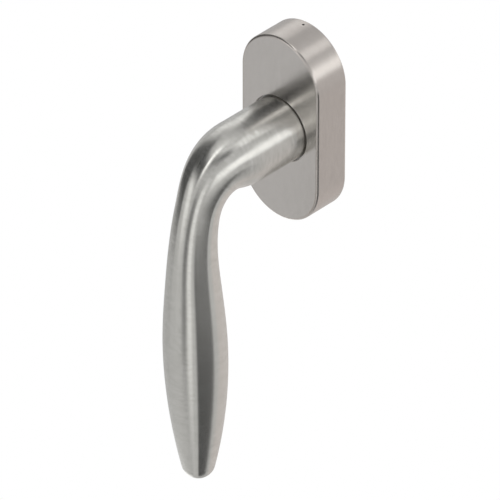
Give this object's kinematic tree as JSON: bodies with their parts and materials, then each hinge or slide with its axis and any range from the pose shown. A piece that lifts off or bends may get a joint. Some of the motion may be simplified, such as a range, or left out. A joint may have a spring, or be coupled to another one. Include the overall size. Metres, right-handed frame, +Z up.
{
  "type": "tilt turn window handle",
  "caption": "Gooseneck lever handle on a round-ended rosette with a square spindle, for a tilt and turn window sash, in satin brushed stainless steel.",
  "frame": {"origin": "middle of the two screw holes on the back face that sits on the sash, which is on the handle's turning axis", "axes": "+Z up along the rosette and away from the closed lever, +Y along the spindle into the sash, -Y into the room, +X to the right as seen from the room"},
  "size_m": [0.034, 0.0717, 0.1548],
  "materials": {
    "brushed_stainless": "satin brushed across the lever and upright on the cover",
    "turned_steel": "fine turned",
    "plated_steel": "bright zinc plated",
    "spring_steel": "blued",
    "ball_steel": "polished",
    "zinc_casting": "die-cast zinc, lightly grained",
    "grey_plastic": "moulded",
    "white_plastic": "moulded"
  },
  "bodies": {
    "rosette": {"base_plate": "zinc_casting", "detent_housing": "zinc_casting", "locating_sleeve_upper": "grey_plastic", "locating_sleeve_lower": "grey_plastic", "housing_lid": "plated_steel", "lid_screws": "plated_steel", "neck_bush": "white_plastic", "rear_bush": "white_plastic", "thrust_washer": "turned_steel", "detent_spring_upper": "spring_steel", "detent_spring_lower": "spring_steel", "cover_clip_left": "spring_steel", "cover_clip_right": "spring_steel"},
    "handle": {"handle_lever": "brushed_stainless", "neck_insert": "turned_steel", "detent_cam": "turned_steel", "disc_spring": "spring_steel", "retaining_ring": "spring_steel", "spindle_leaf": "spring_steel"},
    "cover": {"cover": "brushed_stainless", "guide_ring": "turned_steel"},
    "spindle": {"spindle": "plated_steel"},
    "ball_upper": {"detent_ball_upper": "ball_steel"},
    "ball_lower": {"detent_ball_lower": "ball_steel"}
  },
  "joints": [
    {"name": "handle_turn", "type": "hinge", "parent": "rosette", "child": "handle", "pos_m": [0, 0, 0], "axis": [0, 1, 0], "range_deg": [-180, 180]},
    {"name": "cover_slide", "type": "slide", "parent": "rosette", "child": "cover", "axis": [0, -1, 0], "range_m": [0, 0.018]},
    {"name": "spindle_slide", "type": "slide", "parent": "handle", "child": "spindle", "axis": [0, 1, 0], "range_m": [0, 0.03]},
    {"name": "ball_upper_slide", "type": "slide", "parent": "rosette", "child": "ball_upper", "axis": [0, 0, -1], "range_m": [0, 0.0008], "deforming": ["detent_spring_upper"]},
    {"name": "ball_lower_slide", "type": "slide", "parent": "rosette", "child": "ball_lower", "axis": [0, 0, 1], "range_m": [0, 0.0008], "deforming": ["detent_spring_lower"]}
  ],
  "couplings": [
    {"joint": "ball_lower_slide", "follows": "ball_upper_slide", "ratio": 1}
  ]
}
